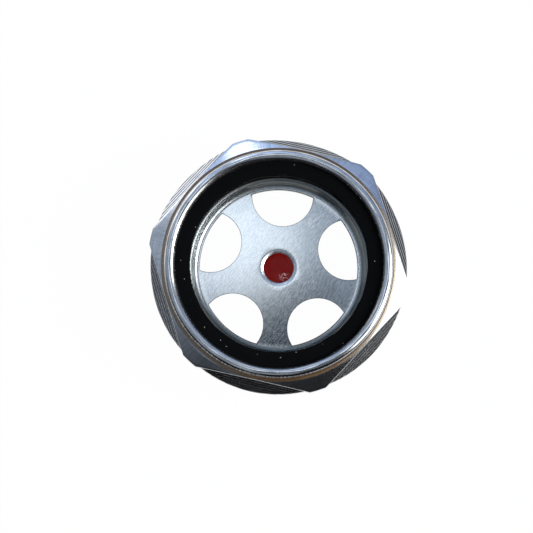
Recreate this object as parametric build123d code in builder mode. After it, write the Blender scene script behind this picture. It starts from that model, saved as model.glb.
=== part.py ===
from build123d import *
from math import radians, tan
import os

# Screw-in oil level gauge for a hydraulic tank. All sizes are in millimetres.
#
# The gauge stands on the end of its thread: z = 0 is that end, +Z is the axis of
# the gauge and points out of its window, and two corners of the hexagon lie on X.
#
# Pieces, from the tank side outwards: the O-ring on the shank, the steel body,
# and in the body's pocket, held down by the rolled rim: the pressed aluminium
# reflector with its red mark, the rear gasket, the glass and the front gasket.

# ---- thread and shank ----
THREAD_DIA = 42.0
THREAD_PITCH = 1.5
THREAD_LENGTH = 9.0  # from the end of the shank to the sealing face
THREAD_DEPTH_RATIO = 0.6134  # depth of an external metric thread over its pitch
LEAD_IN = 0.2  # how far the end chamfer reaches below the thread's root
NECK_WALL = 0.9  # between the neck and the pocket for the reflector's cup
BORE_LEDGE = 0.6  # from that pocket in to the bore
BORE_CHAMFER = 0.3
RELIEF_LENGTH = 2.0  # plain neck between the thread and the sealing face
RELIEF_DEPTH = 0.08  # how far the neck lies below the thread's root

# ---- O-ring and its recess under the collar ----
SEAL_SECTION = 2.0
SEAL_RECESS_DEPTH = 0.8
SEAL_CLEARANCE = 0.05  # to the neck and to the wall of the recess

# ---- collar ----
SEALING_FACE_WIDTH = 2.5
SEALING_FACE_HEIGHT = 0.6
COLLAR_MARGIN = 2.4  # how far the collar stands out past the flats
COLLAR_EDGE = 0.8  # height of the cylindrical edge
COLLAR_HEIGHT = 3.6  # from the sealing face to the top of that edge

# ---- hexagon ----
HEX_ACROSS_FLATS = 50.0
CORNER_MARGIN = 2.9  # how far the turned corners stand out past the flats
CORNER_CHAMFER_ANGLE = 30.0
RUN_OUT_HEIGHT = 2.0  # the flats end this far above the edge of the collar

# ---- rolled rim ----
RIM_MARGIN = 0.7  # how far the rim stands inside the flats
RIM_STAND = 1.7  # height of the rim above the hexagon
RIM_FILLET = 0.35
RIM_WALL = 1.7  # from the pocket to the outside of the rim
LIP_OVERHANG = 0.65  # how far the rolled lip reaches in over the pocket
LIP_EDGE = 0.12  # height of the lip's straight inner edge

# ---- pocket for the glass ----
SHOULDER_HEIGHT = 2.7  # from the sealing face to the shoulder in the pocket
CUP_POCKET_STEP = 0.2  # gap under the reflector's floor

# ---- glass and gaskets ----
GLASS_THICKNESS = 4.0
GLASS_CLEARANCE = 0.2
GLASS_CHAMFER = 0.4
FRONT_GASKET_THICKNESS = 1.2
FRONT_GASKET_WIDTH = 3.7
REAR_GASKET_THICKNESS = 0.8
REAR_GASKET_WIDTH = 3.2
GASKET_CLEARANCE = 0.1
GASKET_EDGE_RADIUS = 0.15

# ---- reflector ----
SHEET = 0.5
CUP_DEPTH = 2.0  # from the top of the flange to the top of the floor
CUP_CLEARANCE = 0.15
FLOOR_BEND_RADIUS = 1.2  # inside the cup
FLANGE_BEND_RADIUS = 0.3  # under the flange
HOLE_COUNT = 5
HOLE_DIA = 13.2
HOLE_CENTRE_INSET = 2.8  # from the cup's wall to the circle of hole centres
HOLE_REACH_INSET = 1.45  # from the cup's wall to the circle that ends the holes
FIRST_HOLE_ANGLE = 27.5

# ---- red mark in the reflector's centre ----
DIMPLE_DEPTH = 0.5
DIMPLE_DIA = 7.5  # where the dimple leaves the floor
DIMPLE_FLOOR_DIA = 6.2
DIMPLE_BEND_RADIUS = 0.1
MARK_THICKNESS = 0.25

# ---- sizes that follow ----
thread_r = THREAD_DIA / 2
thread_depth = THREAD_DEPTH_RATIO * THREAD_PITCH
neck_r = thread_r - thread_depth - RELIEF_DEPTH
end_chamfer = thread_depth + LEAD_IN
cup_pocket_r = neck_r - NECK_WALL
bore_r = cup_pocket_r - BORE_LEDGE

seal_r = neck_r + SEAL_CLEARANCE + SEAL_SECTION / 2
seal_recess_r = seal_r + SEAL_SECTION / 2 + SEAL_CLEARANCE
sealing_face_r = seal_recess_r + SEALING_FACE_WIDTH

sealing_z = THREAD_LENGTH
seal_recess_z = sealing_z + SEAL_RECESS_DEPTH
collar_z = sealing_z + COLLAR_HEIGHT
run_out_z = collar_z + RUN_OUT_HEIGHT

# The stack in the pocket, from the shoulder up to the underside of the lip.
shoulder_z = sealing_z + SHOULDER_HEIGHT
flange_z = shoulder_z + SHEET
glass_z = flange_z + REAR_GASKET_THICKNESS
front_gasket_z = glass_z + GLASS_THICKNESS
lip_z = front_gasket_z + FRONT_GASKET_THICKNESS
floor_z = flange_z - CUP_DEPTH
cup_pocket_z = floor_z - SHEET - CUP_POCKET_STEP

# The head follows the hexagon.
flat_r = HEX_ACROSS_FLATS / 2
collar_r = flat_r + COLLAR_MARGIN
corner_r = flat_r + CORNER_MARGIN
rim_r = flat_r - RIM_MARGIN
hub_r = rim_r + RIM_FILLET  # the chamfer of the hexagon starts at the fillet
pocket_r = rim_r - RIM_WALL
lip_r = pocket_r - LIP_OVERHANG
rim_roll = (rim_r - lip_r) / 2  # radius of the rolled crest
roll_z = lip_z + LIP_EDGE
hex_z = roll_z + rim_roll - RIM_STAND

# The reflector's cup follows the shank that it sits in.
cup_r = cup_pocket_r - CUP_CLEARANCE - SHEET  # inside of the cup's wall

os.makedirs("parts", exist_ok=True)


def save(piece, name):
    """Label a finished piece and write it to its own STEP file."""
    piece.label = name
    export_step(piece, f"parts/{name}.step")


# ---- body: the hexagon, milled from a bar that is chamfered at its corners ----
with BuildPart() as hexagon:
    with BuildSketch(Plane.XY.offset(collar_z)):
        RegularPolygon(flat_r, 6, major_radius=False)
    extrude(amount=hex_z - collar_z)
    with BuildSketch(Plane.XZ):
        with BuildLine():
            chamfer_drop = (corner_r - hub_r) * tan(radians(CORNER_CHAMFER_ANGLE))
            Polyline(
                (rim_r, collar_z),
                (corner_r, collar_z),
                (corner_r, hex_z - chamfer_drop),
                (hub_r, hex_z),
                (rim_r, hex_z),
                close=True,
            )
        make_face()
    revolve(axis=Axis.Z, mode=Mode.INTERSECT)

# The cutter that ends a flat: a slope from the foot of the flat to the collar's edge.
with BuildPart() as run_out:
    with BuildSketch(Plane.XZ):
        with BuildLine():
            slope = RUN_OUT_HEIGHT / (collar_r - flat_r)
            Polyline(
                (flat_r, run_out_z),
                (corner_r, run_out_z - slope * (corner_r - flat_r)),
                (corner_r, run_out_z),
                close=True,
            )
        make_face()
    extrude(amount=corner_r, both=True)

# ---- body: turned shank, collar and pocket, with the rim rolled over the glass ----
with BuildPart() as body:
    with BuildSketch(Plane.XZ):
        with BuildLine():
            Polyline(
                (bore_r + BORE_CHAMFER, 0),
                (thread_r - end_chamfer, 0),
                (thread_r, end_chamfer),
                (thread_r, sealing_z - RELIEF_LENGTH),
                (neck_r, sealing_z - RELIEF_LENGTH + thread_r - neck_r),
                (neck_r, seal_recess_z),
                (seal_recess_r, seal_recess_z),
                (seal_recess_r, sealing_z),
                (sealing_face_r, sealing_z),
                (sealing_face_r, sealing_z + SEALING_FACE_HEIGHT),
                (collar_r, collar_z - COLLAR_EDGE),
                (collar_r, run_out_z),
                (hub_r, run_out_z),
                (hub_r, hex_z),
            )
            RadiusArc((hub_r, hex_z), (rim_r, hex_z + RIM_FILLET), RIM_FILLET)
            Line((rim_r, hex_z + RIM_FILLET), (rim_r, roll_z))
            ThreePointArc(
                (rim_r, roll_z),
                (rim_r - rim_roll, roll_z + rim_roll),
                (lip_r, roll_z),
            )
            Polyline(
                (lip_r, roll_z),
                (lip_r, lip_z),
                (pocket_r, lip_z),
                (pocket_r, shoulder_z),
                (cup_pocket_r + FLANGE_BEND_RADIUS, shoulder_z),
                (cup_pocket_r, shoulder_z - FLANGE_BEND_RADIUS),
                (cup_pocket_r, cup_pocket_z),
                (bore_r, cup_pocket_z),
                (bore_r, BORE_CHAMFER),
                (bore_r + BORE_CHAMFER, 0),
            )
        make_face()
    revolve(axis=Axis.Z)
    with PolarLocations(0, 6, start_angle=30):
        add(run_out.part, mode=Mode.SUBTRACT)
    add(hexagon.part)
save(body.part, "body")

# ---- O-ring on the neck, against the recess under the collar ----
with BuildPart() as tank_seal_ring:
    with BuildSketch(Plane.XZ):
        with Locations((seal_r, seal_recess_z - SEAL_SECTION / 2)):
            Circle(SEAL_SECTION / 2)
    revolve(axis=Axis.Z)
save(tank_seal_ring.part, "tank_seal_ring")

# ---- reflector: one pressed sheet, with a flange, a cup and a central dimple ----
with BuildPart() as reflector:
    with BuildSketch(Plane.XZ):
        with BuildLine():
            wall_r = cup_r + SHEET / 2
            FilletPolyline(
                (0, floor_z - DIMPLE_DEPTH - SHEET / 2),
                (DIMPLE_FLOOR_DIA / 2, floor_z - DIMPLE_DEPTH - SHEET / 2),
                (DIMPLE_DIA / 2, floor_z - SHEET / 2),
                (wall_r, floor_z - SHEET / 2),
                (wall_r, flange_z - SHEET / 2),
                (pocket_r - GLASS_CLEARANCE, flange_z - SHEET / 2),
                radius=[
                    DIMPLE_BEND_RADIUS + SHEET / 2,
                    DIMPLE_BEND_RADIUS + SHEET / 2,
                    FLOOR_BEND_RADIUS + SHEET / 2,
                    FLANGE_BEND_RADIUS + SHEET / 2,
                ],
            )
        trace(line_width=SHEET)
    revolve(axis=Axis.Z)
    with BuildSketch(Plane.XY.offset(floor_z - DIMPLE_DEPTH - SHEET)):
        with PolarLocations(cup_r - HOLE_CENTRE_INSET, HOLE_COUNT, FIRST_HOLE_ANGLE):
            Circle(HOLE_DIA / 2)
        Circle(cup_r - HOLE_REACH_INSET, mode=Mode.INTERSECT)
    extrude(until=Until.LAST, mode=Mode.SUBTRACT)
save(reflector.part, "reflector")

# ---- red mark: enamel that fills the bottom of the dimple ----
with BuildPart() as red_mark:
    with BuildSketch(Plane.XY.offset(floor_z - DIMPLE_DEPTH)):
        Circle(DIMPLE_DIA / 2)
    extrude(amount=MARK_THICKNESS)
    add(reflector.part, mode=Mode.SUBTRACT)
save(red_mark.part, "red_mark")


def flat_ring(width, thickness, bottom_z):
    """A flat rubber ring in the pocket, with slightly rounded edges."""
    outer_r = pocket_r - GASKET_CLEARANCE
    with BuildPart() as ring:
        with BuildSketch(Plane.XZ):
            with Locations((outer_r - width / 2, bottom_z + thickness / 2)):
                RectangleRounded(width, thickness, GASKET_EDGE_RADIUS)
        revolve(axis=Axis.Z)
    return ring.part


# ---- gaskets, one on each side of the glass ----
rear_gasket = flat_ring(REAR_GASKET_WIDTH, REAR_GASKET_THICKNESS, flange_z)
save(rear_gasket, "rear_gasket")
front_gasket = flat_ring(FRONT_GASKET_WIDTH, FRONT_GASKET_THICKNESS, front_gasket_z)
save(front_gasket, "front_gasket")

# ---- glass ----
with BuildPart() as window_glass:
    with BuildSketch(Plane.XY.offset(glass_z)):
        Circle(pocket_r - GLASS_CLEARANCE)
    extrude(amount=GLASS_THICKNESS)
    chamfer(window_glass.edges().filter_by(GeomType.CIRCLE), GLASS_CHAMFER)
save(window_glass.part, "window_glass")
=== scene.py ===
import math

import bmesh
import bpy
import numpy as np
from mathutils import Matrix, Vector


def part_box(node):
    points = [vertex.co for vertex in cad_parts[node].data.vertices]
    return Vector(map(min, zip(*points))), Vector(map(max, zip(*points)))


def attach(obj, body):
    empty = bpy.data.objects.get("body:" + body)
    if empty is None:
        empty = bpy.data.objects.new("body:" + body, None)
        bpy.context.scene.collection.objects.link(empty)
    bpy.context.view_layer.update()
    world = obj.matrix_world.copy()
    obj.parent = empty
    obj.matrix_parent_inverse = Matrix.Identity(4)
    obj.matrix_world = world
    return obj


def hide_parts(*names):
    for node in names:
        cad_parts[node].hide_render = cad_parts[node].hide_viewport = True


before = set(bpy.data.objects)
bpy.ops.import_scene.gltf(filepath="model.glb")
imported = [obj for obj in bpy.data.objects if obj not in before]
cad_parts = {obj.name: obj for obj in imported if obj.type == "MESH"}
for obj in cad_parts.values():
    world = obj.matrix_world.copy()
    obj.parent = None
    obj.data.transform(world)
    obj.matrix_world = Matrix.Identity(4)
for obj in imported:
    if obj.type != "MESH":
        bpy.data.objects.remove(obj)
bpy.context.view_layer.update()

# Lengths are in millimetres, as in the part's source, and MM turns them into metres.
# Angles round the axis start at +X. The bottom of the picture lies near -Y.
MM = 0.001
TAU = 2 * math.pi

# ---- sizes of the body that its box doesn't give ----
THREAD_R = 21.0
THREAD_PITCH = 1.5
THREAD_DEPTH = 0.92
END_R = 19.88  # where the end chamfer meets the end of the shank
NECK_R = 20.0
RELIEF_START = 7.0
BORE_R = 18.5
BORE_CHAMFER = 0.3
SEALING_Z = 9.0
SEALING_FACE_R = 24.6
SEALING_FACE_HEIGHT = 0.6
SEALING_FACE_BREAK = 0.08
SEAL_RECESS_R = 22.1
SEAL_RECESS_Z = 9.8
COLLAR_R = 27.4
COLLAR_LOW_Z = 11.8
COLLAR_Z = 12.6
FLAT_R = 25.0
RUN_OUT_Z = 14.6
RUN_OUT_SLOPE = (RUN_OUT_Z - COLLAR_Z) / (COLLAR_R - FLAT_R)
HUB_R = 24.65  # foot of the rim's fillet
CORNER_CHAMFER = math.radians(30)
RIM_R = 24.3
RIM_FILLET = 0.35
RIM_STAND = 1.7
LIP_R = 21.95
POCKET_R = 22.6
SHOULDER_Z = 11.7
SHOULDER_CHAMFER = 0.3
CUP_POCKET_R = 19.1
CUP_POCKET_Z = 9.5
EDGE = 0.07  # rounding of the hexagon's edges
BREAK = 0.05  # small broken edges

# ---- sizes of the reflector, the mark in it, the front gasket and the glass ----
SHEET = 0.5
FLOOR_Z = 10.2
CUP_WALL_R = 18.45  # inside of the cup
FLOOR_BEND = 1.2
FLANGE_BEND = 0.55  # of the sheet's middle surface
FLOOR_EDGE_R = CUP_WALL_R - FLOOR_BEND  # where the floor turns up into the wall
CROWN = 0.5  # how far the pressed floor rises towards its centre
DIMPLE_DEPTH = 0.5
DIMPLE_R = 3.75
DIMPLE_FLOOR_R = 3.1
HOLES = 5
HOLE_R = 6.6
HOLE_PITCH_R = 15.65
HOLE_REACH_R = 17.0
FIRST_HOLE = math.radians(27.5)
FRONT_GASKET_INNER_R = 18.8
GLASS_BEVEL = 0.4
GLASS_CLEARANCE = 0.02  # so that no face of the glass coincides with a gasket's

# ---- tool marks, damage and a painted highlight ----
RIDGE_PITCH = 0.46  # feed marks on the run-outs of the flats
RIDGE_HEIGHT = 0.035
ROWS_A_RIDGE = 6
GRAIN_ANGLE = math.radians(68)  # direction of the brush marks on the reflector
DENTED_SIDE = 278  # where the rim is dented
GLINT_X = 1.5  # place of the painted highlight on the enamel
GLINT_Y = -1.5

# ---- view of the photograph, in degrees and metres ----
CAMERA_AZIMUTH = 12.8
CAMERA_ELEVATION = 83.0
CAMERA_DISTANCE = 0.38
FIELD_WIDTH = 0.1125  # width that the picture covers at the rim
RIGHT_OFFSET = 0.0026  # how far the gauge lies right of the picture's centre
UP_OFFSET = 0.00065

# ---- sizes that the frame gives ----
corner_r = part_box("body")[1].x / MM
top_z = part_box("body")[1].z / MM
lip_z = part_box("front_gasket")[1].z / MM
reflector_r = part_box("reflector")[1].x / MM
reflector_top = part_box("reflector")[1].z / MM
hex_z = top_z - RIM_STAND


# ---------------------------------------------------------------- meshes
def ripple(theta, seed, low, high, count=24):
    """Smooth periodic noise over the angle, with low to high waves a turn and unit deviation."""
    rng = np.random.default_rng(seed)
    waves = rng.integers(low, high + 1, count)
    phases = rng.uniform(0, TAU, count)
    total = sum(np.cos(k * theta + p) for k, p in zip(waves, phases))
    return total * math.sqrt(2 / count)


def bump_at(theta, centre, width):
    """A smooth bump of height 1 over the angle. Its centre and width are in degrees."""
    away = (np.degrees(theta) - centre + 180) % 360 - 180
    return np.exp(-((away / width) ** 2))


def rounded(before, corner, after, steps=3):
    """Rows along the curve that leads from before to after and rounds off the corner."""
    rows = []
    for t in np.linspace(0, 1, steps + 1):
        weights = ((1 - t) ** 2, 2 * t * (1 - t), t**2)
        points = (before, corner, after)
        radius = sum(w * p[0] for w, p in zip(weights, points))
        height = sum(w * p[1] for w, p in zip(weights, points))
        rows.append((radius, height))
    return rows


def even_angles(count, extra=()):
    """Angles once round the axis, with extra ones between, and the first one again at the end."""
    angles = list(np.linspace(0, TAU, count + 1)) + list(extra)
    return np.array(sorted(set(np.round(angles, 9))))


def revolved_mesh(name, rows, theta, closed=True):
    """A mesh whose rows of (radius, height) run round the axis at the angles theta.

    A closed one also joins its last row to its first.
    """
    radius = np.array([np.broadcast_to(r, theta.shape) for r, _ in rows])
    height = np.array([np.broadcast_to(z, theta.shape) for _, z in rows])
    x = radius * np.cos(theta)
    y = radius * np.sin(theta)
    points = np.stack([x, y, height], axis=-1).reshape(-1, 3) * MM
    count, width = radius.shape
    low = np.arange(count if closed else count - 1)
    a, c = np.meshgrid(low, np.arange(width - 1), indexing="ij")
    b = (a + 1) % count
    corners = [a * width + c, a * width + c + 1, b * width + c + 1, b * width + c]
    faces = np.stack(corners, axis=-1).reshape(-1, 4)
    mesh = bpy.data.meshes.new(name)
    mesh.from_pydata(points.tolist(), [], faces.tolist())
    return mesh


def finish_mesh(mesh, sharp_degrees=32.0, merge=2e-7):
    """Merge what coincides, turn the faces outwards and shade smooth between sharp edges."""
    bm = bmesh.new()
    bm.from_mesh(mesh)
    bmesh.ops.remove_doubles(bm, verts=bm.verts, dist=merge)
    bmesh.ops.dissolve_degenerate(bm, edges=bm.edges, dist=merge)
    bmesh.ops.recalc_face_normals(bm, faces=bm.faces)
    bm.to_mesh(mesh)
    bm.free()
    mesh.shade_smooth()
    mesh.set_sharp_from_angle(angle=math.radians(sharp_degrees))
    return mesh


def add_piece(mesh, node, material):
    """Show a mesh as the piece that stands for a CAD node."""
    piece = bpy.data.objects.new(node + "_look", mesh)
    bpy.context.scene.collection.objects.link(piece)
    mesh.materials.clear()
    mesh.materials.append(material)
    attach(piece, "root")
    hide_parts(node)
    return piece


def dress(node, material):
    """Give a CAD node that keeps its shape its material."""
    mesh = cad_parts[node].data
    mesh.materials.clear()
    mesh.materials.append(material)
    mesh.shade_smooth()
    mesh.set_sharp_from_angle(angle=math.radians(30))


# ---------------------------------------------------------------- body
def hexagon_angles():
    """Angles close to where the collar's and the corners' circles cross the flats."""
    angles = []
    for radius in (COLLAR_R, corner_r):
        half = math.acos(FLAT_R / radius)
        for k in range(6):
            middle = math.radians(30 + 60 * k)
            for side in (-1, 1):
                angle = middle + side * half
                angles += [angle - 2e-4, angle + 2e-4]
    return angles


def cone_height(radius):
    """Height of the chamfer that takes off the hexagon's corners."""
    return hex_z - (radius - HUB_R) * math.tan(CORNER_CHAMFER)


def run_out_height(x):
    """Height of a flat's run-out at the distance x from the axis, without its feed marks."""
    return RUN_OUT_Z - (x - FLAT_R) * RUN_OUT_SLOPE


def scallop(x):
    """Height of the feed marks at the distance x from the flat."""
    return RIDGE_HEIGHT * np.abs(np.sin(math.pi * x / RIDGE_PITCH))


def hexagon_rows(theta):
    """Rows from the foot of the rim over the hexagon and its run-outs to the collar's edge."""
    cos = np.cos(theta % (TAU / 6) - TAU / 12)
    side = np.minimum(FLAT_R / cos, corner_r)
    on_run_out = FLAT_R / cos <= COLLAR_R

    rows = [(HUB_R, hex_z)]
    for share in (0.25, 0.5, 0.75):
        radius = HUB_R + share * (side - EDGE - HUB_R)
        rows.append((radius, cone_height(radius)))
    side_z = cone_height(side)
    rows += rounded((side - EDGE, cone_height(side - EDGE)), (side, side_z), (side, side_z - EDGE))
    rows.append((side, np.where(on_run_out, RUN_OUT_Z, COLLAR_Z) + EDGE))

    end_x = np.maximum(FLAT_R, (COLLAR_R - EDGE) * cos)
    steps = math.ceil((COLLAR_R - FLAT_R) / RIDGE_PITCH * ROWS_A_RIDGE)
    for k in range(steps + 1):
        x = np.minimum(FLAT_R + k * RIDGE_PITCH / ROWS_A_RIDGE, end_x)
        radius = np.where(on_run_out, x / cos, side if k == 0 else COLLAR_R)
        height = np.where(on_run_out, run_out_height(x) + scallop(x - FLAT_R), COLLAR_Z)
        rows.append((radius, height))
    edge_z = np.where(on_run_out, run_out_height(COLLAR_R * cos), COLLAR_Z)
    rows += rounded(rows[-1], (COLLAR_R, edge_z), (COLLAR_R, edge_z - EDGE), steps=2)[1:]
    return rows


def shank_rows():
    """Rows from the collar's lower edge over the sealing face to the neck."""
    face_z = SEALING_Z + SEALING_FACE_HEIGHT
    return [
        (COLLAR_R, COLLAR_LOW_Z + 2 * BREAK),
        (COLLAR_R - BREAK, COLLAR_LOW_Z),
        (SEALING_FACE_R + BREAK, face_z),
        (SEALING_FACE_R, face_z - BREAK),
        (SEALING_FACE_R, SEALING_Z + SEALING_FACE_BREAK),
        (SEALING_FACE_R - SEALING_FACE_BREAK, SEALING_Z),
        (SEAL_RECESS_R + BREAK, SEALING_Z),
        (SEAL_RECESS_R, SEALING_Z + BREAK),
        (SEAL_RECESS_R, SEAL_RECESS_Z),
        (NECK_R, SEAL_RECESS_Z),
    ]


def thread_rows(theta):
    """Rows of a single-start right-hand thread, from the neck down to the end of the shank."""
    # Phase along the pitch, and depth there as a share of the thread's depth.
    profile = (
        (0.0, 0.0),
        (0.125, 0.0),
        (0.43, 0.86),
        (0.50, 0.985),
        (0.5625, 1.0),
        (0.625, 0.985),
        (0.695, 0.86),
    )
    top = RELIEF_START + THREAD_R - NECK_R
    turns = math.ceil(top / THREAD_PITCH) + 1
    rows = []
    for turn in reversed(range(-1, turns)):
        for phase, depth in reversed(profile):
            z = (turn + phase + theta / TAU) * THREAD_PITCH
            z = np.clip(z, 0, top)
            radius = np.minimum(THREAD_R - depth * THREAD_DEPTH, END_R + z)
            radius = np.minimum(radius, THREAD_R - (z - RELIEF_START))
            rows.append((radius, z))
    return rows


def pocket_rows():
    """Rows from the end of the shank up through the bore and the pocket to the lip."""
    return [
        (BORE_R + BORE_CHAMFER, 0),
        (BORE_R, BORE_CHAMFER),
        (BORE_R, CUP_POCKET_Z - BREAK),
        (BORE_R + BREAK, CUP_POCKET_Z),
        (CUP_POCKET_R, CUP_POCKET_Z),
        (CUP_POCKET_R, SHOULDER_Z - SHOULDER_CHAMFER),
        (CUP_POCKET_R + SHOULDER_CHAMFER, SHOULDER_Z),
        (POCKET_R, SHOULDER_Z),
        (POCKET_R, lip_z),
    ]


def lip_wear(theta):
    """How far the ragged and chipped edge of the rolled lip lies outside its true circle."""
    ragged = 0.035 * ripple(theta, 11, 60, 220, 60) + 0.02 * ripple(theta, 12, 9, 40)
    chipped = 0.03 * np.minimum(ripple(theta, 13, 20, 130, 60), 0)
    return np.clip(ragged - chipped - 0.02, -0.11, 0.09)


def rim_rows(theta):
    """Rows of the rolled rim, from its worn lip over the crest to its foot."""
    roll = (RIM_R - LIP_R) / 2
    centre = RIM_R - roll
    worn = lip_wear(theta)
    dents = 0.036 * np.abs(ripple(theta, 14, 25, 120, 50)) * bump_at(theta, DENTED_SIDE, 22)
    rows = [(LIP_R, lip_z)]
    steps = 26
    for k in range(steps + 1):
        angle = math.pi * (1 - k / steps)
        cos = math.cos(angle)
        sin = math.sin(angle)
        uneven = 0.008 * ripple(theta + 0.35 * k, 15, 3, 14)
        reach = roll + uneven * sin - dents * max(0.0, cos) * sin
        near_lip = max(0.0, -cos) ** 6
        rows.append((centre + reach * cos + worn * near_lip, top_z - roll + reach * sin))
    for share in (0, 0.25, 0.5, 0.75):
        angle = share * math.pi / 2
        radius = HUB_R - RIM_FILLET * math.cos(angle)
        rows.append((radius, hex_z + RIM_FILLET * (1 - math.sin(angle))))
    return rows


def build_body():
    """The body with its thread, hexagon, feed marks and rolled rim, as one closed section."""
    theta = even_angles(540, hexagon_angles())
    rows = hexagon_rows(theta) + shank_rows() + thread_rows(theta) + pocket_rows() + rim_rows(theta)
    mesh = revolved_mesh("body_look", rows, theta)
    return add_piece(finish_mesh(mesh), "body", zinc_steel())


# ---------------------------------------------------------------- reflector
def hole_span(theta):
    """Radii between which a hole lies at each angle. Both are equal where there is no hole."""
    alpha = (theta - FIRST_HOLE + math.pi / HOLES) % (TAU / HOLES) - math.pi / HOLES
    tangent_r = math.sqrt(HOLE_PITCH_R**2 - HOLE_R**2)
    half = np.sqrt(np.maximum(HOLE_R**2 - (HOLE_PITCH_R * np.sin(alpha)) ** 2, 0))
    half = np.where(half > 0.002, half, 0)  # rounded angles leave a trace where a hole ends
    middle = np.where(half > 0, HOLE_PITCH_R * np.cos(alpha), tangent_r)
    return middle - half, np.minimum(middle + half, HOLE_REACH_R)


def hole_angles():
    """Angles close to where a hole starts and ends, and to the corners of its reach."""
    tangent = math.asin(HOLE_R / HOLE_PITCH_R)
    cosine = (HOLE_PITCH_R**2 + HOLE_REACH_R**2 - HOLE_R**2) / (2 * HOLE_PITCH_R * HOLE_REACH_R)
    corner = math.acos(cosine)
    angles = []
    for k in range(HOLES):
        middle = FIRST_HOLE + k * TAU / HOLES
        for side in (-1, 1):
            for angle in (corner, tangent, tangent - 2e-4, tangent - 2e-3, tangent - 6e-3):
                angles.append((middle + side * angle) % TAU)
    return angles


def crowned(radius):
    """Height of the middle surface of the pressed floor."""
    return FLOOR_Z - SHEET / 2 + CROWN * (1 - np.minimum(radius / FLOOR_EDGE_R, 1) ** 2)


def bend(centre, radius, start, end, steps, normal_turn):
    """Points of a bend of the sheet's middle surface with the sheet's normal, in degrees."""
    points = []
    for degrees in np.linspace(start, end, steps + 1):
        a = math.radians(degrees)
        point = (centre[0] + radius * math.cos(a), centre[1] + radius * math.sin(a))
        points.append((*point, degrees + normal_turn))
    return points


def dimple_rows():
    """Rows of the middle surface across the central dimple, up to the floor around it."""
    inner = DIMPLE_FLOOR_R - 0.25
    outer = DIMPLE_R + 0.3
    low = float(crowned(outer)) - DIMPLE_DEPTH
    rows = [(0.0, low, 90), (inner / 2, low, 90), (inner, low, 90)]
    for share in np.linspace(0.06, 1, 16):
        rise = share * share * (3 - 2 * share)
        steep = 6 * share * (1 - share) * DIMPLE_DEPTH / (outer - inner)
        radius = inner + share * (outer - inner)
        rows.append((radius, low + rise * DIMPLE_DEPTH, 90 + math.degrees(math.atan(steep))))
    return rows


def sheet_rows(theta):
    """Rows (radius, height, normal) of the middle surface from the centre out.

    The holes lie between the row whose number comes with them and the next one.
    """
    inner, outer = hole_span(theta)
    rows = dimple_rows()
    start = rows[-1][0]
    for share in np.linspace(0.1, 1, 10):
        radius = start + share * (inner - start)
        rows.append((radius, crowned(radius), 90))
    hole_row = len(rows) - 1
    for share in np.linspace(0, 1, 4):
        radius = outer + share * (FLOOR_EDGE_R - outer)
        rows.append((radius, crowned(radius), 90))
    floor_bend = FLOOR_BEND + SHEET / 2
    corner = (FLOOR_EDGE_R, FLOOR_Z - SHEET / 2 + floor_bend)
    rows += bend(corner, floor_bend, -90, 0, 16, 180)[1:]
    flange_z = reflector_top - SHEET / 2
    corner = (CUP_WALL_R + SHEET / 2 + FLANGE_BEND, flange_z - FLANGE_BEND)
    rows += bend(corner, FLANGE_BEND, 180, 90, 8, 0)
    rows += [(reflector_r - 0.6, flange_z, 90), (reflector_r, flange_z, 90)]
    return rows, hole_row


def skin_rows(middle):
    """Rows of the sheet's upper skin from the centre out, and of its lower skin back again."""
    skins = []
    for side, order in ((1, middle), (-1, middle[::-1])):
        for radius, height, normal in order:
            a = math.radians(normal)
            reach = side * SHEET / 2
            skins.append((radius + reach * math.cos(a), height + reach * math.sin(a)))
    return skins


def open_holes(mesh, theta, hole_row, count):
    """Cut the holes through both skins, each of count rows, and close their walls."""
    width = len(theta)
    columns = width - 1
    inner, outer = hole_span((theta[1:] + theta[:-1]) / 2)
    cut = [int(c) for c in np.flatnonzero(outer - inner > 1e-6)]
    last = 2 * count - 1
    bm = bmesh.new()
    bm.from_mesh(mesh)
    bm.faces.ensure_lookup_table()
    doomed = [bm.faces[row * columns + c] for row in (hole_row, last - hole_row - 1) for c in cut]
    bmesh.ops.delete(bm, geom=doomed, context="FACES")
    bm.verts.ensure_lookup_table()
    for row in (hole_row, hole_row + 1):
        for c in cut:
            top = row * width + c
            low = (last - row) * width + c
            bm.faces.new([bm.verts[i] for i in (top, top + 1, low + 1, low)])
    bm.to_mesh(mesh)
    bm.free()


def build_reflector():
    """The pressed and pierced sheet, with the crown that its floor took in the press."""
    theta = even_angles(420, hole_angles())
    middle, hole_row = sheet_rows(theta)
    mesh = revolved_mesh("reflector_look", skin_rows(middle), theta, closed=False)
    open_holes(mesh, theta, hole_row, len(middle))
    finish_mesh(mesh, 40)
    return add_piece(mesh, "reflector", brushed_aluminium())


# ---------------------------------------------------------------- small pieces
def build_red_mark():
    """Enamel that has run into the dimple, which the floor's crown lifts a little."""
    lo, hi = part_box("red_mark")
    lift = dimple_rows()[0][1] + SHEET / 2 - lo.z / MM
    floor_z = lo.z / MM + lift + 0.003
    wet_z = hi.z / MM + lift
    edge_r = DIMPLE_FLOOR_R + 0.08
    theta = even_angles(120)
    rows = [(0.0, floor_z), (DIMPLE_FLOOR_R - 0.3, floor_z), (edge_r, wet_z - 0.08)]
    for share in np.linspace(1, 0, 22):
        radius = edge_r * share
        wave = 0.012 * np.sin(2.1 * radius * np.cos(theta - 0.7) + 1.0)
        rows.append((radius, wet_z - 0.05 * (1 - share**5) + wave * (1 - share**8)))
    mesh = revolved_mesh("red_mark_look", rows, theta, closed=False)
    return add_piece(finish_mesh(mesh), "red_mark", red_enamel())


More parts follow.
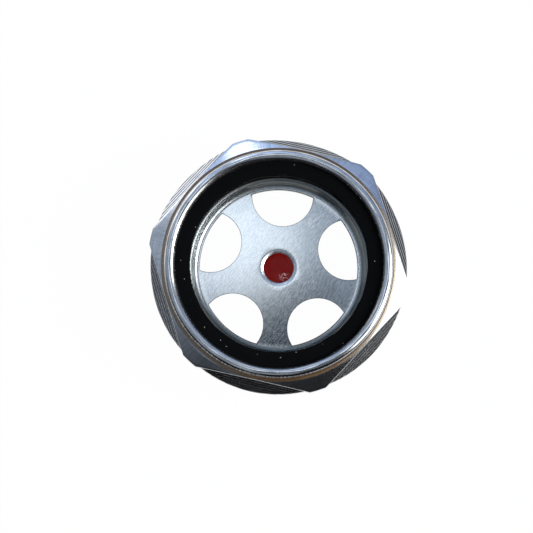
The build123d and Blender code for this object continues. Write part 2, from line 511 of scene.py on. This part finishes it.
def build_front_gasket():
    """Flat rubber ring with a cut inner edge that isn't quite true."""
    lo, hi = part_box("front_gasket")
    outer_r = hi.x / MM
    low = lo.z / MM
    high = hi.z / MM
    edge = 0.15
    theta = even_angles(360)
    inner = FRONT_GASKET_INNER_R + 0.03 * ripple(theta, 21, 2, 30)
    swell = 0.02 * ripple(theta, 22, 2, 9) - 0.02
    face = high - 0.05 + swell
    rows = [(outer_r, low + edge), (outer_r, high - edge), (outer_r - edge, high)]
    rows += [(LIP_R - edge, high), (FRONT_GASKET_INNER_R + 1.8, high - 0.03 + swell / 2)]
    rows += rounded((inner + 0.25, face), (inner, face), (inner, high - 0.3))
    rows += rounded((inner, low + edge), (inner, low), (inner + edge, low))
    rows += [(outer_r - edge, low)]
    mesh = revolved_mesh("front_gasket_look", rows, theta)
    return add_piece(finish_mesh(mesh, 40), "front_gasket", black_rubber())


def build_window_glass():
    """Polished disc with bevelled edges, a hair clear of the gaskets."""
    lo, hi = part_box("window_glass")
    radius = hi.x / MM - GLASS_CLEARANCE
    low = lo.z / MM + GLASS_CLEARANCE
    high = hi.z / MM - GLASS_CLEARANCE
    inside = radius - GLASS_BEVEL
    theta = even_angles(240)
    rows = [(0.0, low)]
    rows += rounded((inside, low), (radius, low), (radius, low + GLASS_BEVEL))
    rows += rounded((radius, high - GLASS_BEVEL), (radius, high), (inside, high))
    rows += [(0.0, high)]
    mesh = revolved_mesh("window_glass_look", rows, theta, closed=False)
    return add_piece(finish_mesh(mesh, 40), "window_glass", clear_glass())


# ---------------------------------------------------------------- node trees
class Nodes:
    """Short calls for building a material's or the world's node tree."""

    def __init__(self, tree):
        self.tree = tree
        tree.nodes.clear()

    def add(self, kind, **settings):
        node = self.tree.nodes.new("ShaderNode" + kind)
        for key, value in settings.items():
            setattr(node, key, value)
        return node

    def link(self, source, target):
        self.tree.links.new(source, target)

    def put(self, value, socket):
        if isinstance(value, bpy.types.NodeSocket):
            self.link(value, socket)
        else:
            socket.default_value = value

    def math(self, operation, a, b=0.0):
        node = self.add("Math", operation=operation)
        self.put(a, node.inputs[0])
        self.put(b, node.inputs[1])
        return node.outputs[0]

    def times(self, value, *factors):
        for factor in factors:
            value = self.math("MULTIPLY", value, factor)
        return value

    def plus(self, value, *others):
        for other in others:
            value = self.math("ADD", value, other)
        return value

    def minus(self, a, b):
        return self.math("SUBTRACT", a, b)

    def most(self, value, *others):
        for other in others:
            value = self.math("MAXIMUM", value, other)
        return value

    def vector(self, operation, a, b=(0, 0, 0)):
        node = self.add("VectorMath", operation=operation)
        self.put(a, node.inputs[0])
        self.put(b, node.inputs[1])
        number = operation in ("DOT_PRODUCT", "LENGTH", "DISTANCE")
        return node.outputs["Value" if number else "Vector"]

    def combine(self, x=0.0, y=0.0, z=0.0):
        node = self.add("CombineXYZ")
        for value, socket in zip((x, y, z), node.inputs):
            self.put(value, socket)
        return node.outputs[0]

    def span(self, value, low, high, to_low=0.0, to_high=1.0):
        """Map value smoothly from low..high to to_low..to_high, clamped."""
        node = self.add("MapRange", interpolation_type="SMOOTHSTEP")
        for v, socket in zip((value, low, high, to_low, to_high), node.inputs):
            self.put(v, socket)
        return node.outputs[0]

    def band(self, value, low, high, soft):
        """1 between low and high, falling to 0 over soft outside them."""
        rise = self.span(value, low - soft, low)
        fall = self.span(value, high, high + soft, 1.0, 0.0)
        return self.times(rise, fall)

    def mix(self, factor, a, b):
        """Colour a where factor is 0, and b where it is 1."""
        node = self.add("Mix", data_type="RGBA")
        for v, socket in zip((factor, a, b), (node.inputs[0], node.inputs[6], node.inputs[7])):
            if isinstance(v, tuple):
                v = (*v, 1)
            self.put(v, socket)
        return node.outputs[2]

    def brighten(self, factor, base, colour):
        """The base colour with factor times another one added."""
        node = self.add("Mix", data_type="RGBA", blend_type="ADD")
        self.link(factor, node.inputs[0])
        self.link(base, node.inputs[6])
        node.inputs[7].default_value = (*colour, 1)
        return node.outputs[2]

    def noise(self, vector, scale, detail=3.0, roughness=0.55):
        """Noise with scale waves a metre or so."""
        node = self.add("TexNoise")
        self.put(vector, node.inputs["Vector"])
        node.inputs["Scale"].default_value = scale
        node.inputs["Detail"].default_value = detail
        node.inputs["Roughness"].default_value = roughness
        return node.outputs[0]

    def bump(self, height, distance, strength):
        """The normal over a height map whose height 1 stands for distance, in metres."""
        node = self.add("Bump")
        node.inputs["Strength"].default_value = strength
        node.inputs["Distance"].default_value = distance
        self.put(height, node.inputs["Height"])
        return node.outputs[0]


def new_material(name):
    """An empty node material with a Principled shader on its output."""
    material = bpy.data.materials.new(name)
    material.use_nodes = True
    nodes = Nodes(material.node_tree)
    shader = nodes.add("BsdfPrincipled")
    out = nodes.add("OutputMaterial")
    nodes.link(shader.outputs[0], out.inputs[0])
    return material, nodes, shader


def place(nodes):
    """Position on the gauge, in metres."""
    return nodes.add("TexCoord").outputs["Object"]


def cylinder_place(nodes):
    """Radius and height in millimetres, and the angle round the axis."""
    split = nodes.add("SeparateXYZ")
    nodes.link(place(nodes), split.inputs[0])
    x, y, z = split.outputs
    radius = nodes.times(nodes.vector("LENGTH", nodes.combine(x, y)), 1 / MM)
    return radius, nodes.times(z, 1 / MM), nodes.math("ARCTAN2", y, x)


def flat_way(degrees):
    """Unit vector that points away from the axis at that angle."""
    return (math.cos(math.radians(degrees)), math.sin(math.radians(degrees)), 0)


def facing(nodes, degrees, soft):
    """1 on the side of the gauge that lies at that angle, falling smoothly to 0 away from it."""
    outwards = nodes.vector("NORMALIZE", nodes.vector("MULTIPLY", place(nodes), (1, 1, 0)))
    return nodes.span(nodes.vector("DOT_PRODUCT", outwards, flat_way(degrees)), 1 - soft, 1)


# ---------------------------------------------------------------- zinc-plated steel
def turning_marks(nodes, radius, z, angle):
    """Noise drawn out round the axis, as a lathe tool leaves it."""
    around = nodes.combine(nodes.times(radius, MM), nodes.times(angle, 0.0012), nodes.times(z, MM))
    return nodes.noise(around, 5200, 4, 0.6)


def scrape_marks(nodes, radius, angle):
    """Noise drawn out away from the axis."""
    outwards = nodes.combine(nodes.times(angle, 0.024), nodes.times(radius, 0.12 * MM))
    return nodes.noise(outwards, 2400, 3, 0.6)


def on_cone(nodes, radius, z):
    """1 on the chamfered corners of the hexagon."""
    lowest = cone_height(corner_r)
    return nodes.times(
        nodes.span(radius, HUB_R - 0.05, HUB_R + 0.15), nodes.span(z, lowest - 0.2, lowest)
    )


def on_rim(nodes, radius, z):
    """1 on the rolled rim above its fillet."""
    above = nodes.span(z, hex_z, hex_z + 0.2)
    return nodes.times(above, nodes.span(radius, RIM_R + 0.1, RIM_R + 0.2, 1.0, 0.0))


def painted_valley_shade(nodes, z):
    """How much painted shade lies in the valleys of the feed marks on the run-outs of the flats."""
    distances = []
    for side in (30, 90, 150):
        along = nodes.vector("DOT_PRODUCT", place(nodes), flat_way(side))
        distances.append(nodes.times(nodes.math("ABSOLUTE", along), 1 / MM))
    past_flat = nodes.minus(nodes.most(*distances), FLAT_R)
    above_slope = nodes.minus(nodes.plus(z, nodes.times(past_flat, RUN_OUT_SLOPE)), RUN_OUT_Z)
    on_run_out = nodes.times(
        nodes.span(past_flat, -0.08, -0.02), nodes.band(above_slope, -0.02, 0.06, 0.03)
    )
    wave = nodes.math("SINE", nodes.times(past_flat, math.pi / RIDGE_PITCH))
    ridge = nodes.math("ABSOLUTE", wave)
    return nodes.times(on_run_out, nodes.span(ridge, 0.25, 0.8, 0.93, 0.30))


def painted_foot_reflection(nodes, radius, above):
    """How much of the painted brown reflection lies in the groove at the rim's foot."""
    groove = nodes.band(radius, RIM_R - 0.1, HUB_R + 0.21, 0.1)
    patches = nodes.span(nodes.noise(place(nodes), 900, 4, 0.7), 0.25, 0.45, 0.8, 1.0)
    return nodes.times(groove, above, patches)


def foot_reflection_colour(nodes):
    """Colour of the painted brown reflection: redder at the bottom of the picture and paler at its
    left and right.
    """
    brown = nodes.mix(facing(nodes, 268, 0.5), (0.17, 0.12, 0.085), (0.27, 0.15, 0.065))
    brown = nodes.mix(facing(nodes, 215, 0.6), brown, (0.34, 0.27, 0.21))
    return nodes.mix(facing(nodes, 12, 0.6), brown, (0.25, 0.215, 0.17))


def painted_flank_shade(nodes, radius, above, scrapes):
    """Painted shade on the lower left of the rim, just above its foot, streaked like the rolling
    tool's marks.
    """
    marked = nodes.band(radius, RIM_R - 0.5, RIM_R + 0.02, 0.15)
    marks = nodes.span(scrapes, 0.35, 0.6, 0.55, 1.0)
    return nodes.times(marked, above, marks, facing(nodes, 262, 0.9))


def darker_lip_edge(nodes, radius, above):
    """How much darker the lip's inner edge is, in patches."""
    at_edge = nodes.span(radius, LIP_R + 0.4, LIP_R + 0.56, 1.0, 0.0)
    patches = nodes.span(nodes.noise(place(nodes), 1500, 4, 0.7), 0.3, 0.6, 0.5, 1.0)
    return nodes.times(at_edge, above, patches)


def painted_lip_shade(nodes, radius, above):
    """How much painted shade lies on the lip at the bottom right."""
    at_edge = nodes.span(radius, LIP_R + 0.6, LIP_R + 0.76, 1.0, 0.0)
    return nodes.times(at_edge, above, nodes.span(facing(nodes, 305, 0.5), 0.0, 1.0, 0.0, 0.8))


def machined_zinc(nodes, turned, scrapes, grit, cone, rim):
    """Colour of bright zinc with tool marks in it, worn by the rolling tool on the rim."""
    cloud = nodes.noise(place(nodes), 420, 4, 0.6)
    zinc = nodes.mix(cloud, (0.66, 0.69, 0.73), (0.86, 0.88, 0.90))
    scraped = nodes.times(nodes.span(scrapes, 0.45, 0.7, 0.0, 0.6), cone)
    zinc = nodes.mix(scraped, zinc, (0.46, 0.49, 0.54))
    zinc = nodes.mix(nodes.span(turned, 0.4, 0.65, 0.0, 0.45), zinc, (0.42, 0.43, 0.45))
    worn = nodes.plus(nodes.times(turned, 0.6), nodes.times(grit, 0.4))
    worn = nodes.times(nodes.span(worn, 0.46, 0.58, 0.0, 0.6), rim)
    return nodes.mix(worn, zinc, (0.25, 0.26, 0.27))


def zinc_steel():
    """Zinc over turned and milled steel, with a painted reflection and painted shade round the
    rolled rim and in the feed marks.
    """
    material, nodes, shader = new_material("zinc_plated_steel")
    radius, z, angle = cylinder_place(nodes)
    turned = turning_marks(nodes, radius, z, angle)
    scrapes = scrape_marks(nodes, radius, angle)
    grit = nodes.noise(place(nodes), 5200, 3, 0.7)
    cone = on_cone(nodes, radius, z)
    rim = on_rim(nodes, radius, z)
    above = nodes.span(z, hex_z - 0.3, hex_z - 0.1)
    foot_reflection = painted_foot_reflection(nodes, radius, above)
    lip_edge_dark = darker_lip_edge(nodes, radius, above)

    zinc = machined_zinc(nodes, turned, scrapes, grit, cone, rim)
    # Painted shade in the valleys of the feed marks.
    zinc = nodes.mix(painted_valley_shade(nodes, z), zinc, (0.05, 0.05, 0.055))
    # Painted reflection of a brown table, in the groove at the rim's foot.
    zinc = nodes.mix(foot_reflection, zinc, foot_reflection_colour(nodes))
    # Painted shade on the rim's outer flank at the lower left, streaked like tool marks.
    zinc = nodes.mix(painted_flank_shade(nodes, radius, above, scrapes), zinc, (0.06, 0.06, 0.06))
    # Darker patches on the lip's inner edge.
    zinc = nodes.mix(lip_edge_dark, zinc, (0.24, 0.23, 0.22))
    # Painted shade on the lip at the bottom right.
    zinc = nodes.mix(painted_lip_shade(nodes, radius, above), zinc, (0.07, 0.068, 0.07))

    rough = nodes.span(turned, 0.3, 0.7, 0.10, 0.20)
    rough = nodes.plus(rough, nodes.times(foot_reflection, 0.3), nodes.times(lip_edge_dark, 0.2))
    height = nodes.plus(
        nodes.times(turned, 0.6), nodes.times(scrapes, cone, 0.4), nodes.times(grit, rim, 1.6)
    )
    nodes.link(zinc, shader.inputs["Base Color"])
    nodes.link(rough, shader.inputs["Roughness"])
    nodes.link(nodes.bump(height, 0.00001, 0.2), shader.inputs["Normal"])
    shader.inputs["Metallic"].default_value = 1
    return material


# ---------------------------------------------------------------- aluminium
def brush_grain(nodes):
    """Noise drawn out along the brush marks."""
    turn = nodes.add("Mapping", vector_type="TEXTURE")
    nodes.link(place(nodes), turn.inputs[0])
    turn.inputs["Rotation"].default_value = (0, 0, GRAIN_ANGLE)
    turn.inputs["Scale"].default_value = (4, 1, 1)
    return nodes.noise(turn.outputs[0], 3600, 4, 0.7)


def painted_hole_edge_shade(nodes, radius, angle):
    """How much painted shade lies on and just beside the sheared edges of the reflector's holes."""
    fifth = TAU / HOLES
    turn = nodes.minus(angle, FIRST_HOLE - fifth / 2 - TAU)
    turn = nodes.minus(nodes.math("MODULO", turn, fifth), fifth / 2)
    x = nodes.minus(nodes.times(radius, nodes.math("COSINE", turn)), HOLE_PITCH_R)
    y = nodes.times(radius, nodes.math("SINE", turn))
    away = nodes.math("SQRT", nodes.plus(nodes.times(x, x), nodes.times(y, y)))
    outside = nodes.most(nodes.minus(away, HOLE_R), nodes.minus(radius, HOLE_REACH_R))
    return nodes.span(outside, 0.04, 0.16, 0.85, 0.0)


def brushed_aluminium():
    """Brushed sheet with a dull drawn wall, with painted shade on the wall and the bend below it,
    darkest at the bottom of the picture, and on the holes' edges.
    """
    material, nodes, shader = new_material("brushed_aluminium")
    radius, _, angle = cylinder_place(nodes)
    grain = brush_grain(nodes)
    cloud = nodes.noise(place(nodes), 160, 3, 0.55)
    base = nodes.mix(nodes.span(grain, 0.3, 0.7), (0.52, 0.56, 0.60), (0.88, 0.91, 0.94))
    base = nodes.mix(nodes.span(cloud, 0.35, 0.7, 0.0, 0.25), base, (0.48, 0.53, 0.58))
    # Painted shade on the drawn wall all round, in the recess under the gasket.
    painted_wall_shade = nodes.span(radius, FLOOR_EDGE_R + 0.05, CUP_WALL_R - 0.25, 0.0, 0.75)
    base = nodes.mix(painted_wall_shade, base, (0.13, 0.145, 0.14))
    # Painted shade on the bend into the wall, at the bottom of the picture.
    bent = nodes.span(radius, FLOOR_EDGE_R - 0.45, FLOOR_EDGE_R + 0.15)
    shaded = nodes.times(bent, nodes.span(facing(nodes, 275, 0.9), 0.0, 1.0, 0.0, 0.8))
    base = nodes.mix(shaded, base, (0.07, 0.082, 0.085))
    # Painted shade on and beside the holes' cut edges.
    base = nodes.mix(painted_hole_edge_shade(nodes, radius, angle), base, (0.05, 0.05, 0.05))

    rough = nodes.span(grain, 0.3, 0.7, 0.13, 0.20)
    on_wall = nodes.span(radius, FLOOR_EDGE_R - 0.25, CUP_WALL_R - 0.35)
    on_dimple = nodes.band(radius, DIMPLE_FLOOR_R, DIMPLE_R + 0.05, 0.2)
    rough = nodes.plus(rough, nodes.times(on_wall, 0.22), nodes.times(on_dimple, 0.15))
    nodes.link(base, shader.inputs["Base Color"])
    nodes.link(rough, shader.inputs["Roughness"])
    nodes.link(nodes.bump(grain, 0.00001, 0.3), shader.inputs["Normal"])
    along = nodes.combine(math.cos(GRAIN_ANGLE), math.sin(GRAIN_ANGLE))
    nodes.link(along, shader.inputs["Tangent"])
    shader.inputs["Anisotropic"].default_value = 0.3
    shader.inputs["Metallic"].default_value = 1
    return material


# ---------------------------------------------------------------- rubber, enamel and glass
def dust(nodes):
    """1 on pale specks, one in about half of the cells of a Voronoi pattern."""
    speck = nodes.add("TexVoronoi", feature="F1")
    nodes.link(place(nodes), speck.inputs["Vector"])
    speck.inputs["Scale"].default_value = 760
    dot = nodes.span(speck.outputs["Distance"], 0.04, 0.10, 1.0, 0.0)
    pick = nodes.add("SeparateColor")
    nodes.link(speck.outputs["Color"], pick.inputs[0])
    return nodes.times(dot, nodes.math("GREATER_THAN", pick.outputs[0], 0.55))


def black_rubber():
    """Matt black rubber with a little dust on it."""
    material, nodes, shader = new_material("black_rubber")
    cloud = nodes.noise(place(nodes), 260, 4, 0.6)
    grain = nodes.noise(place(nodes), 5200, 4, 0.7)
    dark = nodes.mix(cloud, (0.0008, 0.0009, 0.001), (0.0022, 0.0026, 0.0034))
    nodes.link(nodes.mix(dust(nodes), dark, (0.42, 0.40, 0.36)), shader.inputs["Base Color"])
    nodes.link(nodes.span(grain, 0.2, 0.8, 0.55, 0.8), shader.inputs["Roughness"])
    nodes.link(nodes.bump(grain, 0.00003, 0.5), shader.inputs["Normal"])
    shader.inputs["Specular IOR Level"].default_value = 0.05
    return material


def painted_enamel_glint(nodes):
    """How strong the painted highlight is, as fine pale lines in one spot of the enamel."""
    crack = nodes.math("ABSOLUTE", nodes.minus(nodes.noise(place(nodes), 900, 1, 0.4), 0.5))
    spot = (GLINT_X * MM, GLINT_Y * MM, FLOOR_Z * MM)
    away = nodes.times(nodes.vector("DISTANCE", place(nodes), spot), 1 / MM)
    in_spot = nodes.span(away, 0.7, 1.3, 1.0, 0.0)
    return nodes.times(nodes.span(crack, 0.008, 0.035, 0.6, 0.0), in_spot)


def red_enamel():
    """Dark red enamel, a little uneven, with a painted highlight in one spot."""
    material, nodes, shader = new_material("red_enamel")
    cloud = nodes.noise(place(nodes), 700, 4, 0.6)
    paint = nodes.mix(cloud, (0.13, 0.0032, 0.0028), (0.185, 0.006, 0.005))
    # Painted highlight: a pale squiggle where the enamel's gloss catches the light.
    paint = nodes.mix(painted_enamel_glint(nodes), paint, (0.75, 0.55, 0.55))
    nodes.link(paint, shader.inputs["Base Color"])
    nodes.link(nodes.span(cloud, 0.3, 0.7, 0.08, 0.16), shader.inputs["Roughness"])
    nodes.link(nodes.bump(cloud, 0.00012, 0.35), shader.inputs["Normal"])
    shader.inputs["Specular IOR Level"].default_value = 0.06
    shader.inputs["Coat Weight"].default_value = 0.06
    shader.inputs["Coat Roughness"].default_value = 0.05
    return material


def clear_glass():
    """Clear glass: seen through straight on, mirroring and refracting towards grazing views.

    Straight on it doesn't bend the light, because that would blur away the shading of the
    reflector behind it.
    """
    material, nodes, shader = new_material("clear_glass")
    film = nodes.noise(place(nodes), 300, 3, 0.5)
    tint = nodes.mix(film, (0.992, 0.998, 0.995), (0.999, 1.0, 0.999))
    nodes.link(tint, shader.inputs["Base Color"])
    nodes.link(nodes.span(film, 0.3, 0.7, 0.0, 0.015), shader.inputs["Roughness"])
    shader.inputs["Transmission Weight"].default_value = 1
    shader.inputs["IOR"].default_value = 1.5
    clear = nodes.add("BsdfTransparent")
    nodes.link(tint, clear.inputs[0])
    fresnel = nodes.add("Fresnel")
    fresnel.inputs["IOR"].default_value = 1.1
    choose = nodes.add("MixShader")
    nodes.link(fresnel.outputs[0], choose.inputs[0])
    nodes.link(clear.outputs[0], choose.inputs[1])
    nodes.link(shader.outputs[0], choose.inputs[2])
    out = next(n for n in nodes.tree.nodes if n.type == "OUTPUT_MATERIAL")
    nodes.link(choose.outputs[0], out.inputs[0])
    return material


# ---------------------------------------------------------------- surroundings
def paper_white():
    """White paper. Cameras, metal and glass see it plain white, with only the shadow on it."""
    material = bpy.data.materials.new("floor_paper")
    material.use_nodes = True
    nodes = Nodes(material.node_tree)
    matt = nodes.add("BsdfDiffuse")
    matt.inputs[0].default_value = (0.95, 0.95, 0.95, 1)
    glow = nodes.add("Emission")
    path = nodes.add("LightPath")
    through = path.outputs["Is Transmission Ray"]
    seen = nodes.most(path.outputs["Is Camera Ray"], path.outputs["Is Glossy Ray"], through)
    share = nodes.plus(nodes.times(seen, 0.985), nodes.times(through, 0.01))
    blend = nodes.add("MixShader")
    out = nodes.add("OutputMaterial")
    nodes.link(share, blend.inputs[0])
    nodes.link(matt.outputs[0], blend.inputs[1])
    nodes.link(glow.outputs[0], blend.inputs[2])
    nodes.link(blend.outputs[0], out.inputs[0])
    return material


def build_floor():
    """A broad sheet of paper under the gauge."""
    mesh = bpy.data.meshes.new("floor")
    half = 3.0
    corners = [(-half, -half, 0), (half, -half, 0), (half, half, 0), (-half, half, 0)]
    mesh.from_pydata(corners, [], [(0, 1, 2, 3)])
    floor = bpy.data.objects.new("floor", mesh)
    bpy.context.scene.collection.objects.link(floor)
    mesh.materials.append(paper_white())


def cosine(degrees):
    return math.cos(math.radians(degrees))


def towards(nodes, way, side, height):
    """How close the direction is to one at that side of the picture, above the horizon."""
    a = math.radians(side + CAMERA_AZIMUTH)
    e = math.radians(height)
    axis = (math.cos(a) * math.cos(e), math.sin(a) * math.cos(e), math.sin(e))
    return nodes.vector("DOT_PRODUCT", way, axis)


def room_light(nodes):
    """Light of the room that the metal mirrors, with windows at the right and top of the picture.

    It is dark near the horizon and straight overhead.
    """
    way = nodes.add("TexCoord").outputs["Generated"]
    split = nodes.add("SeparateXYZ")
    nodes.link(way, split.inputs[0])
    up = split.outputs[2]

    bluish = nodes.span(towards(nodes, way, 110, 28), -0.35, 0.95)
    light = nodes.mix(bluish, (0.02, 0.02, 0.022), (0.41, 0.48, 0.58))
    light = nodes.mix(nodes.span(up, 0.0, 0.4, 0.75, 0.0), light, (0.02, 0.02, 0.02))
    overhead = nodes.span(towards(nodes, way, 270, 88), cosine(11), cosine(5), 0.0, 0.85)
    light = nodes.mix(overhead, light, (0.02, 0.02, 0.024))
    # Side in the picture, height above the horizon, inner and outer half-width, colour.
    lobes = (
        (349, 37, 20, 28, (3.0, 3.0, 3.0)),  # window on the right
        (354, 32, 8, 17, (11.0, 11.0, 11.0)),  # its bright middle
        (105, 24, 3, 10, (1.6, 1.65, 1.7)),  # window at the top
        (105, 26, 14, 32, (0.16, 0.26, 0.50)),  # blue sky round it
        (112, 79.3, 3, 9.6, (1.02, 1.06, 1.10)),  # ceiling lamp that the reflector mirrors
        (50, 26, 8, 26, (0.0, 0.04, 0.18)),  # blue sky at the upper right
        (250, 54, 8, 26, (0.20, 0.22, 0.24)),  # pale wall at the lower left
        (80, 50, 6, 22, (0.14, 0.15, 0.17)),  # pale wall at the top
        (140, 8, 8, 18, (1.9, 1.9, 1.95)),  # low window at the upper left
    )
    for side, height, inner, outer, colour in lobes:
        glow = nodes.span(towards(nodes, way, side, height), cosine(outer), cosine(inner))
        light = nodes.brighten(glow, light, colour)
    return light


def build_world():
    """The room's light, and plain white where the camera looks past the floor."""
    world = bpy.data.worlds.new("studio")
    bpy.context.scene.world = world
    world.use_nodes = True
    nodes = Nodes(world.node_tree)
    path = nodes.add("LightPath")
    shown = nodes.mix(path.outputs["Is Camera Ray"], room_light(nodes), (1.0, 1.0, 1.0))
    back = nodes.add("Background")
    out = nodes.add("OutputWorld")
    nodes.link(shown, back.inputs[0])
    nodes.link(back.outputs[0], out.inputs[0])


def build_camera():
    """A camera at the photograph's angle, with the gauge a little right of the centre."""
    a = math.radians(CAMERA_AZIMUTH - 90)
    e = math.radians(CAMERA_ELEVATION)
    back = Vector((math.cos(e) * math.cos(a), math.cos(e) * math.sin(a), math.sin(e)))
    turn = back.to_track_quat("Z", "Y")
    right = turn @ Vector((1, 0, 0))
    up = turn @ Vector((0, 1, 0))
    aim = Vector((0, 0, lip_z * MM)) - right * RIGHT_OFFSET - up * UP_OFFSET
    data = bpy.data.cameras.new("camera")
    data.lens = data.sensor_width * CAMERA_DISTANCE / FIELD_WIDTH
    data.clip_start = 0.01
    camera = bpy.data.objects.new("camera", data)
    bpy.context.scene.collection.objects.link(camera)
    camera.location = aim + back * CAMERA_DISTANCE
    camera.rotation_euler = turn.to_euler()
    bpy.context.scene.camera = camera


# ---------------------------------------------------------------- the scene
build_body()
build_reflector()
build_red_mark()
build_front_gasket()
dress("rear_gasket", black_rubber())
dress("tank_seal_ring", black_rubber())
build_window_glass()
build_floor()
build_world()
build_camera()
bpy.context.scene.view_settings.view_transform = "Standard"
